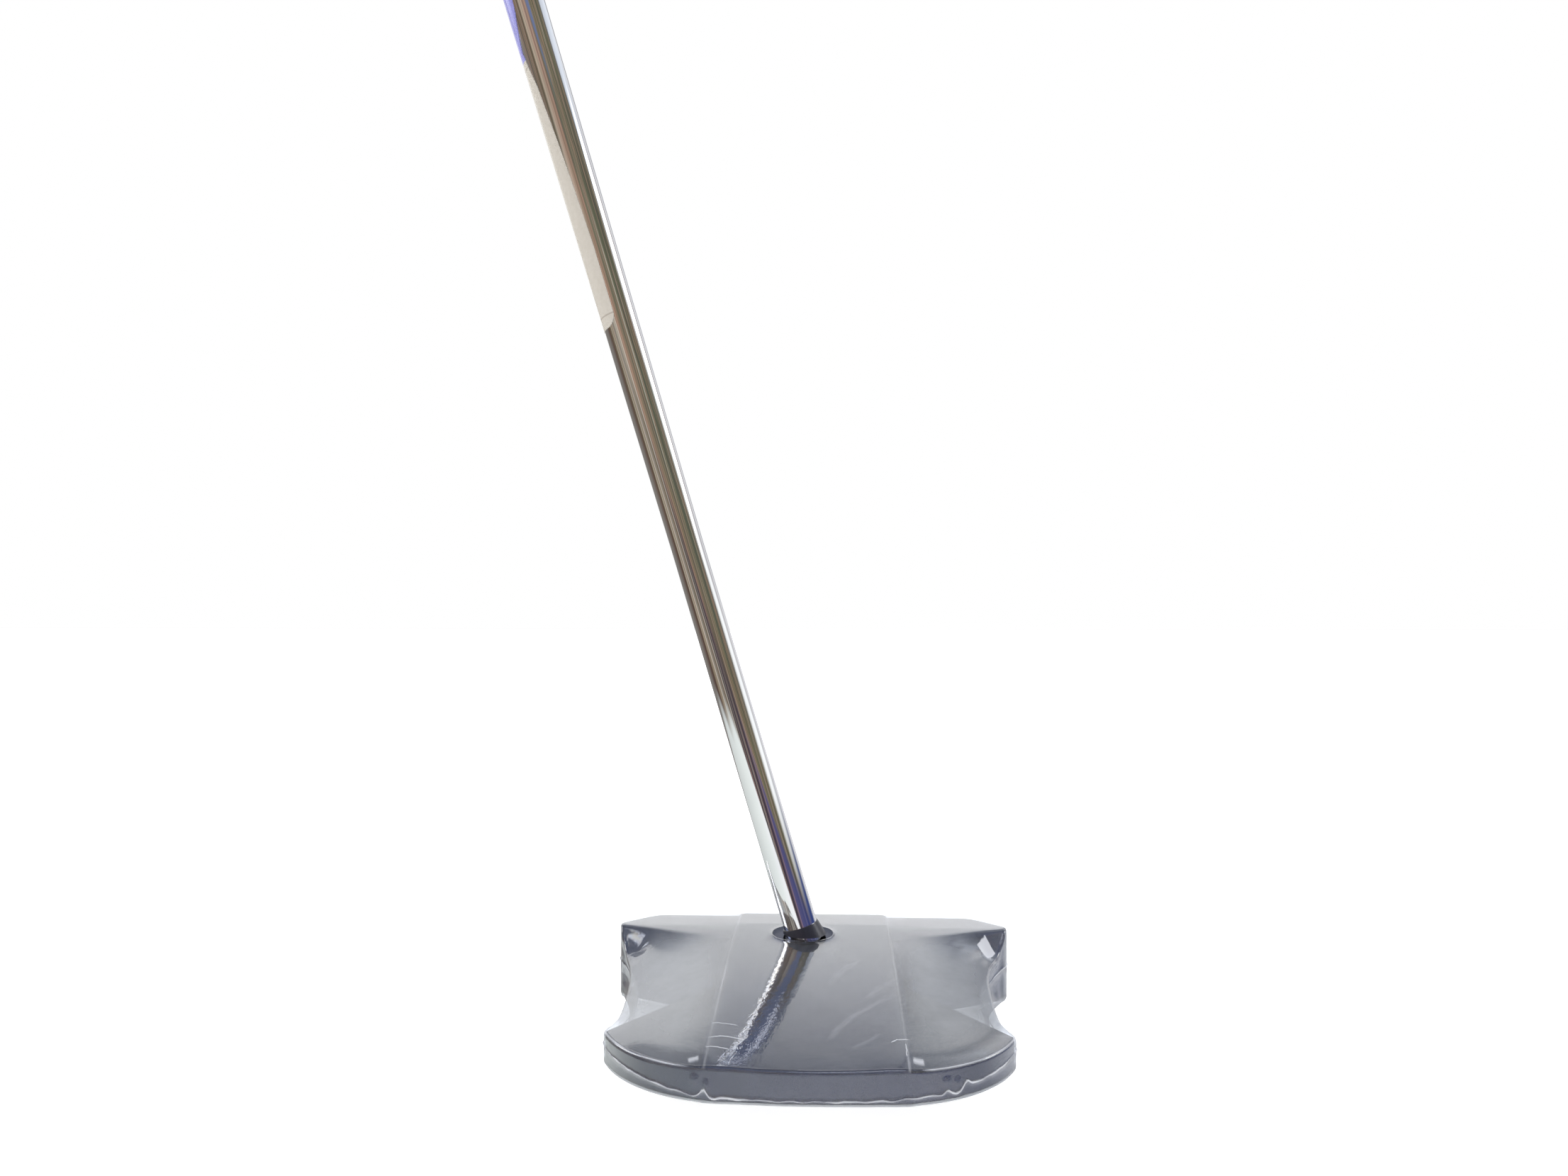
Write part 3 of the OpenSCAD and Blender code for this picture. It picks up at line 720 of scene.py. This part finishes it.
def make_film(material):
    ring, normal = film_outline(SEGMENTS)
    ring_x, ring_y, bow = ring[:, 0], ring[:, 1], ring[:, 4]
    top = Sheet(ring, ring[:, 2], crown_support, tip_dips)
    low = Sheet(ring, -ring[:, 3], sole_support)
    q = ring[:, :2]
    edge_r = 0.85
    inner = q - normal * edge_r
    angle = np.arctan2(inner[:, 1] - ENTRY[1], inner[:, 0] - ENTRY[0])
    rim = ENTRY[:2] + hole_reach(angle)[:, None] * np.column_stack([np.cos(angle), np.sin(angle)])
    rows, seam_and_highlight_marks, airs, edges = [], [], [], []
    gap = np.linalg.norm(inner - rim, axis=1)

    def put(xy, z, mask=0.0, air=0.0, edge=0.0):
        z, mask, air, edge = (np.broadcast_to(v, (SEGMENTS,)) for v in (z, mask, air, edge))
        rows.append(np.column_stack([xy, z]))
        for values, field in ((mask, seam_and_highlight_marks), (air, airs), (edge, edges)):
            field.append(values)

    shares = np.concatenate([[0, 0.004, 0.010, 0.018], np.linspace(0.03, 0.955, 66),
                             [0.967, 0.977, 0.985, 0.992, 1.0]])
    for share in shares:
        xy = rim + (inner - rim) * share
        away = share * gap
        lift = 0.42 * np.exp(-away / 0.7)
        z = top.read(xy[:, 0], xy[:, 1])
        edge = np.clip(1 - (gap * (1 - share) + edge_r) / 7.0, 0, 1) * np.clip((-34 - xy[:, 1]) / 12, 0, 1)
        edge = edge * (0.45 + 0.55 * np.clip((np.abs(xy[:, 0]) - 20) / 6, 0, 1))
        put(xy, z + lift, 0.0, top.read(xy[:, 0], xy[:, 1], top.air), edge)
    z_edge = top.read(inner[:, 0], inner[:, 1])
    # Painted highlight: a thin white line where the film turns over the wings' trailing edge, carried in
    # the seam mask
    wing_highlight = np.clip((np.abs(ring_x) - 26) / 2, 0, 1) * np.clip((-36 - ring_y) / 6, 0, 1)
    wing_highlight = wing_highlight * np.clip(0.62 + waves(ring_x, ring_y, 51, 6.0, 25.0, 6, 0.3), 0.15, 1)
    for degrees in (18, 36, 54, 72, 90):
        a = math.radians(degrees)
        put(inner + normal * edge_r * math.sin(a), z_edge - edge_r * (1 - math.cos(a)),
            wing_highlight if degrees == 36 else 0.0)
    z_low = -low.read(inner[:, 0], inner[:, 1])
    z1, z0 = z_edge - edge_r, z_low + edge_r
    seam = np.clip(seam_height(ring), z0 + 0.35, z1 - 0.7)

    def wall(z, push=0.0, mask=0.0):
        share = np.clip((z - z0) / np.maximum(z1 - z0, 0.1), 0, 1)
        hollow = bow * 4 * share * (1 - share)
        put(q + normal * (push - hollow)[:, None], z, mask)

    for share in (0.1, 0.2, 0.3, 0.4, 0.5, 0.6, 0.7, 0.8, 0.9):
        wall(z1 + (seam + 0.4 - z1) * share)
    beads = ((0.34, 0.0, 0.0), (0.2, 0.03, 0.12), (0.1, 0.14, 0.7), (0.0, 0.24, 1.0),
             (-0.1, 0.14, 0.7), (-0.2, 0.03, 0.12))
    # The weld's thickness and whiteness come and go
    strong = 0.6 + waves(ring_x, ring_y, 31, 4.0, 30.0, 8, 0.34) + 0.5 * bell(ring_x - 33, 5)
    strong = np.clip(strong, 0.3, 1.1)
    for offset, push, mask in beads:
        wall(seam + offset * (0.6 + 0.8 * strong), push * (0.4 + 0.9 * strong), mask * strong)
    for share in (0.3, 0.6, 0.85):
        wall(seam - 0.4 + (z0 - seam + 0.4) * share)
    for a in np.radians([90, 67, 45, 22, 0]):
        put(inner + normal * edge_r * math.sin(a), z_low + edge_r * (1 - math.cos(a)), 0.0, 1.0)
    hub = np.array([0.0, -24.0])
    for share in np.linspace(0.97, 0.05, 16):
        xy = hub + (inner - hub) * share
        put(xy, -low.read(xy[:, 0], xy[:, 1]))
    outer = np.array(rows)
    seam_and_highlight_masks, airs = np.array(seam_and_highlight_marks), np.array(airs)

    # Ripples, ridges and creases, all pushed along the skin's normal
    side = np.cross(np.roll(outer, -1, 1) - np.roll(outer, 1, 1),
                    np.gradient(outer, axis=0))
    side /= np.maximum(np.linalg.norm(side, axis=2), 1e-9)[..., None]
    if side[10, :, 2].mean() < 0:
        side = -side
    x, y, z = outer[..., 0], outer[..., 1], outer[..., 2]
    push = waves(x, y + z, 21, 9, 26, 9, 0.014) + waves(x, y - z, 22, 3.0, 7.0, 9, 0.0018)
    # Puckers where the skirt was pinched, and a fan of fine folds round the toe's hollow
    for height, at_x, at_z, wide, tall in PUCKERS:
        push = push + (y < -40) * height * bell(x - at_x, wide) * bell(z - at_z, tall)
    drawn = np.clip((np.abs(x) - 45) / 5, 0, 1) * np.clip((y + 16) / 8, 0, 1) * (y < 4) * (z < 19)
    push = push + drawn * waves(x + z, y - z, 41, 2.4, 6.0, 8, 0.05)
    reach, heading = np.hypot(x - 50, y - 2), np.arctan2(y - 2, x - 50)
    push = push + 0.03 * np.sin(heading * 22) * bell(reach - 9.5, 3.5) * (z > 12) * (y < 0)
    outer = outer + side * push[..., None]

    rows_n = len(outer)
    thin = 0.12
    inner_rows = (outer - side * thin)[0::2, 0::2]
    half = SEGMENTS // 2
    points = list(outer.reshape(-1, 3))
    faces = ring_faces(rows_n, SEGMENTS)
    hub_z = float(-low.read(np.array([hub[0]]), np.array([hub[1]]))[0])
    points.append(np.array([hub[0], hub[1], hub_z]))
    centre, last = len(points) - 1, (rows_n - 1) * SEGMENTS
    faces += [(last + i, last + (i + 1) % SEGMENTS, centre) for i in range(SEGMENTS)]
    first = len(points)
    points += list(inner_rows.reshape(-1, 3))
    faces += ring_faces(len(inner_rows), half, first, flip=True)
    points.append(np.array([hub[0], hub[1], hub_z + thin]))
    inner_centre, inner_last = len(points) - 1, first + (len(inner_rows) - 1) * half
    faces += [(inner_last + (i + 1) % half, inner_last + i, inner_centre) for i in range(half)]
    for i in range(half):
        a, b, c = 2 * i, 2 * i + 1, (2 * i + 2) % SEGMENTS
        p, r = first + i, first + (i + 1) % half
        faces += [(b, a, p), (c, b, p), (c, p, r)]
    film = new_piece("head_film_skin", points, faces, material)
    # The seam attribute holds the weld seam's whiteness and the painted highlight line along the wings'
    # trailing edge
    for name, field in (("seam", seam_and_highlight_masks), ("air", airs), ("edge", edges)):
        values = np.zeros(len(points), np.float32)
        values[: rows_n * SEGMENTS] = np.array(field).reshape(-1)
        if name == "seam":
            values[first: first + inner_rows.shape[0] * half] = seam_and_highlight_masks[0::2, 0::2].reshape(-1)
        paint(film, name, values)
    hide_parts("head_film")


def bent_line_mask(t, x, y, mid_x, mid_y, degrees, half, bend, width):
    """Node mask of a fine bent line in plan, all in millimetres: 1 on the line, 0 beyond its width."""
    c, d = math.cos(math.radians(degrees)), math.sin(math.radians(degrees))
    dx = t.minus(t.times(x, 1000.0), mid_x)
    dy = t.minus(t.times(y, 1000.0), mid_y)
    along = t.plus(t.times(dx, c), t.times(dy, d))
    off = t.minus(t.times(dy, c), t.times(dx, d))
    off = t.minus(off, t.times(t.times(along, along), bend))
    line = t.span(t.math("ABSOLUTE", off), 0.0, width, 1.0, 0.0)
    return t.times(line, t.span(t.math("ABSOLUTE", along), 0.6 * half, half, 1.0, 0.0))


# Whitened creases on the film, and two painted highlights at the wings' rear corners: strength, then middle
# x and y, heading, half-length, bend and width
CREASES_AND_GLINTS = (
    (0.55, (-19.6, -49.6, -10, 3.8, -0.035, 0.16)), (0.7, (-18.5, -54.9, -8, 5.2, -0.030, 0.18)),
    (0.6, (-20.4, -58.8, -10, 3.3, -0.045, 0.16)), (0.8, (21.3, -54.9, 22, 2.6, -0.11, 0.18)),
    (0.5, (22.65, -58.5, 90, 2.6, 0.0, 0.2)), (0.055, (11.25, -45.4, 49.5, 13.5, -0.0126, 1.2)),
    (0.035, (8.2, -24.6, 59, 9.0, -0.02, 1.6)), (0.03, (5.3, -12.0, 70, 9.0, -0.01, 1.6)),
    (0.04, (17.6, -33.0, 51, 8.2, -0.015, 1.3)), (0.04, (13.6, -56.0, 37, 5.0, 0.02, 0.9)),
    # The last two are painted highlights where the film spans the wings' rear corners
    (0.45, (-25.7, -62.4, 12, 1.5, 0.0, 1.4)), (0.5, (25.3, -62.0, -6, 1.5, 0.0, 1.5)),
)


def film_material():
    """Clear glossy film: a sheen over a clear sheet, with a slight milky haze that thickens in the seam,
    and painted highlights laid in the same milky white.
    """
    material = bpy.data.materials.new("film")
    material.use_nodes = True
    t = Tree(material.node_tree)
    coords = t.add("TexCoord").outputs["Object"]
    seam = t.painted("seam")
    x, y, z = t.xyz(coords)
    # Whiter lines along the plate's two edges, where the film bends over them
    flare = (PLATE_BACK - PLATE_FRONT) / (FACE_Y - BACK_Y)
    half = t.math("MULTIPLY_ADD", y, -flare, (PLATE_FRONT + 0.6 + flare * FACE_Y) * MM)
    off = t.away(t.math("ABSOLUTE", x), half)
    ridge = t.times(t.span(off, 0.0, 0.0005, 1.0, 0.0), t.span(z, 0.0112, 0.0122))
    cloud = t.noise(coords, 60, 4.0, 0.6)
    speck = t.noise(coords, 700, 3.0, 0.6)
    haze_and_highlights = t.math("MULTIPLY_ADD", cloud, 0.04, 0.01)
    haze_and_highlights = t.plus(haze_and_highlights, t.times(ridge, t.span(cloud, 0.35, 0.65, 0.06, 0.17)))
    warp = t.times(t.minus(t.noise(coords, 420, 3.0, 0.6), 0.5), 0.0012)
    x, y = t.plus(x, warp), t.minus(y, warp)
    upper = t.span(z, 0.0105, 0.0115)
    # Whitened creases, and painted highlights at the wings' rear corners
    for strength, mark in CREASES_AND_GLINTS:
        line = t.times(bent_line_mask(t, x, y, *mark), t.times(upper, strength))
        haze_and_highlights = t.plus(haze_and_highlights, line)
    # Painted highlight: one lozenge of milky white, drawn tight behind the bar's toe tip where a lamp's
    # reflection lies
    wide = t.math("DIVIDE", t.away(x, 0.0481), 0.0027)
    long = t.math("DIVIDE", t.away(y, -0.0008), 0.0035)
    lozenge = t.span(t.plus(wide, long), 0.80, 1.0, 1.0, 0.0)
    haze_and_highlights = t.plus(haze_and_highlights, t.times(t.times(lozenge, t.span(z, 0.0162, 0.0166)), 0.64))
    # The seam attribute adds the weld's whiteness and the painted highlight line along the wings' trailing
    # edge
    haze_and_highlights = t.plus(haze_and_highlights, t.times(seam, 0.62), clamp=True)
    facing = t.add("LayerWeight", {"Blend": 0.5})
    sheen = t.math("POWER", facing.outputs["Facing"], 3.1)
    sheen = t.math("MULTIPLY_ADD", sheen, 0.93, 0.045)
    clear = t.add("BsdfTransparent", {"Color": (0.965, 0.98, 1.0, 1)})
    pimple = t.bump(t.noise(coords, 420, 3.0, 0.6), 0.08, 0.0004)
    pimple = t.bump(speck, 0.15, 0.0001, pimple)
    # The sheet rolls over gently towards the trailing edge
    edge = t.painted("edge")
    pimple = t.bump(t.times(t.times(edge, edge), -1.0), 1.0, 0.0011, pimple)
    gloss = t.add("BsdfGlossy", {"Color": (1, 1, 1, 1), "Roughness": t.span(cloud, 0.3, 0.7, 0.02, 0.07),
                                 "Normal": pimple})
    milk = t.add("BsdfDiffuse", {"Color": (0.82, 0.84, 0.87, 1)})
    # Where the film bridges the notches a grey milkiness hides what lies beneath
    smoke = t.add("BsdfDiffuse", {"Color": (0.43, 0.455, 0.47, 1)})
    air = t.painted("air")
    veil = t.times(air, t.span(cloud, 0.3, 0.7, 0.52, 0.66))
    veiled = t.blend(veil, clear.outputs[0], smoke.outputs[0])
    shine = t.blend(sheen, veiled, gloss.outputs[0])
    t.add("OutputMaterial", {"Surface": t.blend(haze_and_highlights, shine, milk.outputs[0])})
    return material


make_film(film_material())

dress("head_body", head_finish("head_metal", (0.030, 0.036, 0.068, 1), (0.044, 0.052, 0.094, 1),
                               (0.20, 0.32)))
dress("alignment_plate", head_finish("head_plate", (0.030, 0.037, 0.068, 1), (0.046, 0.055, 0.096, 1),
                                     (0.14, 0.24)))
dress("face_insert", worn("insert_metal", (0.42, 0.43, 0.45, 1), (0.60, 0.61, 0.63, 1), (0.25, 0.42),
                          metal=1.0, bump=0.2, stretch=(0.08, 1, 1)))
dress("insert_tape", worn("bond_tape", (0.62, 0.56, 0.30, 1), (0.74, 0.68, 0.40, 1), (0.5, 0.7), scale=400))
dress("sole_plate", worn("sole_steel", (0.48, 0.49, 0.51, 1), (0.66, 0.67, 0.69, 1), (0.22, 0.38),
                         metal=1.0, bump=0.2, stretch=(1, 0.06, 1)))
SCREWS = [(sx * 0.017, -0.022 + sy * 0.016) for sx in (-1, 1) for sy in (-1, 1)]
dress("sole_screws", turned("screw_steel", SCREWS, (0.5, 0.51, 0.53, 1), (0.72, 0.73, 0.75, 1),
                            (0.2, 0.35), 0.00025))
WEIGHTS = [(sx * a, b) for sx in (-1, 1) for a, b in ((0.0385, 0.0082), (0.0355, -0.044))]
weight_finish = turned("weight_steel", WEIGHTS, (0.46, 0.47, 0.5, 1), (0.7, 0.71, 0.73, 1),
                       (0.18, 0.32), 0.0004)
for end in ("heel", "toe"):
    for row in ("front", "rear"):
        dress(end + "_" + row + "_weight", weight_finish)
dress("weight_seals", worn("seal_rubber", (0.012, 0.012, 0.012, 1), (0.03, 0.03, 0.03, 1), (0.55, 0.75),
                           scale=1500))
dress("ferrule", worn("ferrule_plastic", (0.016, 0.017, 0.028, 1), (0.026, 0.028, 0.044, 1), (0.34, 0.48),
                      scale=1200, coat=0.12))
dress("shaft_epoxy", worn("epoxy", (0.55, 0.48, 0.30, 1), (0.70, 0.62, 0.42, 1), (0.25, 0.45), scale=500))
dress("tip_plug", worn("plug_cork", (0.30, 0.19, 0.10, 1), (0.48, 0.33, 0.19, 1), (0.7, 0.9),
                       scale=700, bump=0.4))


def chrome_material():
    """Bright chrome with faint polishing lines and finger marks."""
    material, t, shader, coords = start_material("shaft_chrome")
    smudge = t.noise(coords, 30, 5.0, 0.62)
    fine = t.noise(t.mapped(coords, (1, 1, 0.02)), 2400, 2.0, 0.5)
    colour = t.mix(t.span(smudge, 0.3, 0.75), (0.84, 0.85, 0.87, 1), (0.90, 0.905, 0.915, 1))
    rough = t.span(smudge, 0.35, 0.75, 0.015, 0.045)
    surface(t, shader, colour, rough, t.bump(fine, 0.012, 0.00002), 1.0)
    return material


# ---- the shaft, its label, the grip and the cap, turned about the shaft's axis

TIP_R, BUTT_R, TAPER_START, TAPER_LEN = 4.7, 7.62, 112.0, 414.0
SHAFT_LEN, GRIP_LEN, SHAFT_WALL, BORE_DEPTH = 836.0, 267.0, 0.9, 19.0
GRIP_START = SHAFT_LEN - GRIP_LEN


def shaft_radius(height):
    """Radius of the tube: a parallel tip, a long taper, a parallel butt."""
    return TIP_R + (BUTT_R - TIP_R) * np.clip((height - TAPER_START) / TAPER_LEN, 0, 1)


def revolve(name, rows, count, material):
    """A piece from rows of (radius, height), each a number or one value per angle, closed on themselves."""
    angle = np.arange(count) * 2 * math.pi / count
    rings = [on_shaft(np.broadcast_to(r, (count,)), angle, np.broadcast_to(h, (count,))) for r, h in rows]
    faces = ring_faces(len(rings), count)
    last = (len(rings) - 1) * count
    faces += [(last + i, last + (i + 1) % count, (i + 1) % count, i) for i in range(count)]
    return new_piece(name, np.concatenate(rings), faces, material)


def make_shaft():
    rows = [(TIP_R - SHAFT_WALL, -BORE_DEPTH), (TIP_R - 0.25, -BORE_DEPTH), (TIP_R, -BORE_DEPTH + 0.3)]
    for height in list(np.arange(-15, TAPER_START, 6.0)) + list(np.arange(TAPER_START, SHAFT_LEN - 1, 6.0)):
        rows.append((float(shaft_radius(height)), float(height)))
    rows += [(BUTT_R, SHAFT_LEN - 0.4), (BUTT_R - 0.2, SHAFT_LEN), (BUTT_R - SHAFT_WALL, SHAFT_LEN)]
    for height in (700.0, 526.0, 400.0, 250.0, TAPER_START):
        rows.append((float(shaft_radius(height)) - SHAFT_WALL, height))
    shaft = revolve("shaft_tube", rows, 144, chrome_material())
    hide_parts("shaft")


LABEL_START, LABEL_LEN, LABEL_T = 178.0, 122.0, 0.12
# Where the label's free edge runs, in degrees about the shaft at each height: it slants and has one notch
LABEL_HEIGHTS = [178, 202, 220, 234, 251, 258, 263, 268, 275, 300]
LABEL_EDGE = [264, 264, 257, 250, 238, 226, 218, 226, 240, 250]
LABEL_HIDDEN_EDGE = 24
# Heights of the lavender band's foot and of the two rules, in metres
BAND_FOOT, RULES = 0.2600, (0.1815, 0.2580)


def make_label(material):
    """A printed band with rounded corners, a closed sheet that clings to the taper."""
    across, along, corner = 96, 90, 3.6
    points = []
    for lift in (LABEL_T, 0.01):
        for share in np.linspace(0, 1, along):
            # Rows gather at both ends, where the corners are cut
            height = LABEL_START + LABEL_LEN * (0.5 - 0.5 * math.cos(math.pi * share))
            edge = min(height - LABEL_START, LABEL_START + LABEL_LEN - height, corner)
            inset = corner - math.sqrt(max(corner**2 - (corner - edge) ** 2, 0))
            radius = float(shaft_radius(height)) + lift
            first = math.radians(LABEL_HIDDEN_EDGE) + inset / radius
            last = math.radians(np.interp(height, LABEL_HEIGHTS, LABEL_EDGE)) - inset / radius
            angle = np.linspace(first, last, across)
            points.append(on_shaft(np.full(across, radius), angle, np.full(across, height)))
    points = np.concatenate(points)
    faces, layer = [], along * across
    for k in range(along - 1):
        for i in range(across - 1):
            a = k * across + i
            quad = (a, a + 1, a + across + 1, a + across)
            faces.append(quad)
            faces.append(tuple(layer + v for v in quad[::-1]))
    rim = list(range(across)) + [k * across + across - 1 for k in range(1, along)]
    rim += [(along - 1) * across + i for i in range(across - 2, -1, -1)]
    rim += [k * across for k in range(along - 2, 0, -1)]
    for a, b in zip(rim, rim[1:] + rim[:1]):
        faces.append((b, a, layer + a, layer + b))
    label = new_piece("shaft_label_sheet", points, faces, material)
    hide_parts("shaft_label")


def height_on_shaft(t, coords):
    """Node value: metres up the shaft's axis."""
    dot = t.add("VectorMath", {0: coords, 1: tuple(UP)}, operation="DOT_PRODUCT")
    return t.minus(dot.outputs["Value"], float(ENTRY @ UP) * MM)


def label_material():
    """Ivory paper under gloss laminate, a lavender band above it and two thin rules, no lettering."""
    material, t, shader, coords = start_material("label")
    height = height_on_shaft(t, coords)
    fibre = t.noise(coords, 900, 4.0, 0.6)
    cloud = t.noise(coords, 60, 3.0, 0.5)
    ivory = t.mix(t.span(fibre, 0.3, 0.7), srgb(195, 190, 178), srgb(200, 195, 184))
    lavender = t.mix(t.span(cloud, 0.3, 0.7), srgb(126, 124, 190), srgb(150, 150, 208))
    colour = t.mix(t.span(height, BAND_FOOT, BAND_FOOT + 0.0004), ivory, lavender)
    for level in RULES:
        rule = t.span(t.away(height, level), 0.00015, 0.0003, 1.0, 0.0)
        colour = t.mix(t.times(rule, 0.55), colour, srgb(150, 140, 128))
    surface(t, shader, colour, t.span(cloud, 0.3, 0.7, 0.08, 0.14), t.bump(fibre, 0.01, 0.00002))
    return material


GRIP_ROWS = np.array([(0.0, 9.45), (1.5, 10.25), (40, 10.85), (90, 12.25), (140, 12.9), (180, 14.1),
                      (220, 15.2), (245, 15.5), (267, 15.5)])
FLAT_LOW, FLAT_HIGH, GRIP_BORE, FLAT_ENDS_R = 8.79, 11.78, 7.93, 11.5
GRIP_SIDES = 200
GRIP_ANGLES = np.arange(GRIP_SIDES) * 2 * math.pi / GRIP_SIDES
LATTICE_TURNS, LATTICE_PITCH, RIB_PITCH = 7, 9.0, 4.8
PAINTED_RINGS = (6.5, 259.5)


def flat_radius(radius, angle, height):
    """Radius once the thumb flat is cut, its two edges softened."""
    plane = FLAT_LOW + (FLAT_HIGH - FLAT_LOW) * height / GRIP_LEN
    limit = plane / np.maximum(np.cos(angle), 1e-3)
    limit = np.where(np.cos(angle) > 0.05, limit, 1e3)
    blend = np.clip(0.5 + 0.5 * (limit - radius) / 0.9, 0, 1)
    return limit + (radius - limit) * blend - 0.45 * blend * (1 - blend)


def make_grip(material):
    """Putter grip: a ribbed flat for the thumbs and a lattice of grooves round the back."""
    angle, smooth = GRIP_ANGLES, np.zeros(GRIP_SIDES)
    heights = np.concatenate([[0, 0.4, 0.9, 1.5, 2.5], np.arange(3.5, 264.0, 0.8),
                              [264.5, 265.5, 266.3, GRIP_LEN]])
    from_flat = np.abs((angle + math.pi) % (2 * math.pi) - math.pi)
    rows, cuts = [(GRIP_BORE, GRIP_START)], [smooth]
    for height in heights:
        base = np.interp(height, GRIP_ROWS[:, 0], GRIP_ROWS[:, 1])
        radius = flat_radius(base, angle, height)
        ends = np.clip((height - 9) / 4, 0, 1) * np.clip((256 - height) / 4, 0, 1)
        # Lattice: two families of helical grooves, on the round part only
        left = np.abs(np.sin(LATTICE_TURNS * angle + height * math.pi / LATTICE_PITCH))
        right = np.abs(np.sin(LATTICE_TURNS * angle - height * math.pi / LATTICE_PITCH))
        groove = np.exp(-(np.minimum(left, right) / 0.24) ** 2)
        back = np.clip((from_flat - 0.98) / 0.10, 0, 1)
        rib = np.exp(-(np.sin(height * math.pi / RIB_PITCH) / 0.42) ** 2)
        front = np.clip((0.52 - from_flat) / 0.05, 0, 1)
        edge_line = bell(from_flat - 0.80, 0.035)
        rings = sum(bell(height - at, 0.8) for at in PAINTED_RINGS)
        cut = ends * np.maximum(np.maximum(groove * back, rib * front), edge_line)
        rows.append((radius - 0.48 * cut - 0.35 * rings, GRIP_START + height))
        cuts.append(cut + 2 * rings)
    tail = [(GRIP_BORE, height) for height in (SHAFT_LEN, GRIP_START + 200, GRIP_START + 100)]
    cuts += [smooth] * len(tail)
    grip = revolve("grip_sleeve", rows + tail, GRIP_SIDES, material)
    paint(grip, "cut", np.concatenate(cuts).astype(np.float32))
    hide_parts("grip")


def make_cap(material):
    """End cap: a rounded rim, a shallow dish with one ring, and a vent."""
    rows = [(1.4, 0.0), (15.2, 0.0), (15.42, 0.15), (15.5, 0.45), (15.5, 2.6), (15.42, 3.0), (15.1, 3.5),
            (14.7, 3.82), (14.2, 3.98), (13.4, 4.0), (12.9, 3.9), (12.4, 3.55), (11.8, 3.45), (9.2, 3.4),
            (8.9, 3.25), (8.4, 3.2), (7.9, 3.25), (7.6, 3.4), (3.4, 3.4), (2.9, 3.2), (2.2, 3.1),
            (1.7, 3.0), (1.4, 2.7)]
    # Only the rim is wide enough for the flat to cut it
    shaped = []
    for r, h in rows:
        if r > FLAT_ENDS_R:
            r = flat_radius(r, GRIP_ANGLES, GRIP_LEN)
        shaped.append((r, SHAFT_LEN + h))
    cap = revolve("grip_end_cap", shaped, GRIP_SIDES, material)
    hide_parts("grip_cap")


def grip_material():
    """Black rubber: worn satin lands, dull grooves darkened with painted shade, and a pale paint fill in
    the two end rings.
    """
    material, t, shader, coords = start_material("grip_rubber")
    cut = t.painted("cut")
    grain = t.noise(coords, 2600, 3.0, 0.65)
    wear = t.noise(coords, 28, 4.0, 0.6)
    land = t.mix(t.span(wear, 0.3, 0.7), (0.020, 0.021, 0.023, 1), (0.042, 0.043, 0.046, 1))
    # Painted shade: the grooves, ribs and the flat's edge line are darkened nearly to black
    colour = t.mix(t.span(cut, 0.15, 0.8), land, (0.005, 0.005, 0.006, 1))
    colour = t.mix(t.span(cut, 1.2, 1.7), colour, (0.52, 0.53, 0.54, 1))
    rough = t.plus(t.span(wear, 0.3, 0.7, 0.34, 0.52), t.span(cut, 0.1, 0.8, 0.0, 0.3))
    surface(t, shader, colour, rough, t.bump(grain, 0.3, 0.00008))
    return material


make_shaft()
make_label(label_material())
make_grip(grip_material())
make_cap(worn("cap_rubber", (0.016, 0.016, 0.018, 1), (0.038, 0.039, 0.042, 1), (0.34, 0.52),
              scale=1500, bump=0.3, depth=0.0001))
dress("grip_tape", worn("grip_tape", (0.60, 0.52, 0.34, 1), (0.72, 0.64, 0.45, 1), (0.6, 0.8), scale=700))
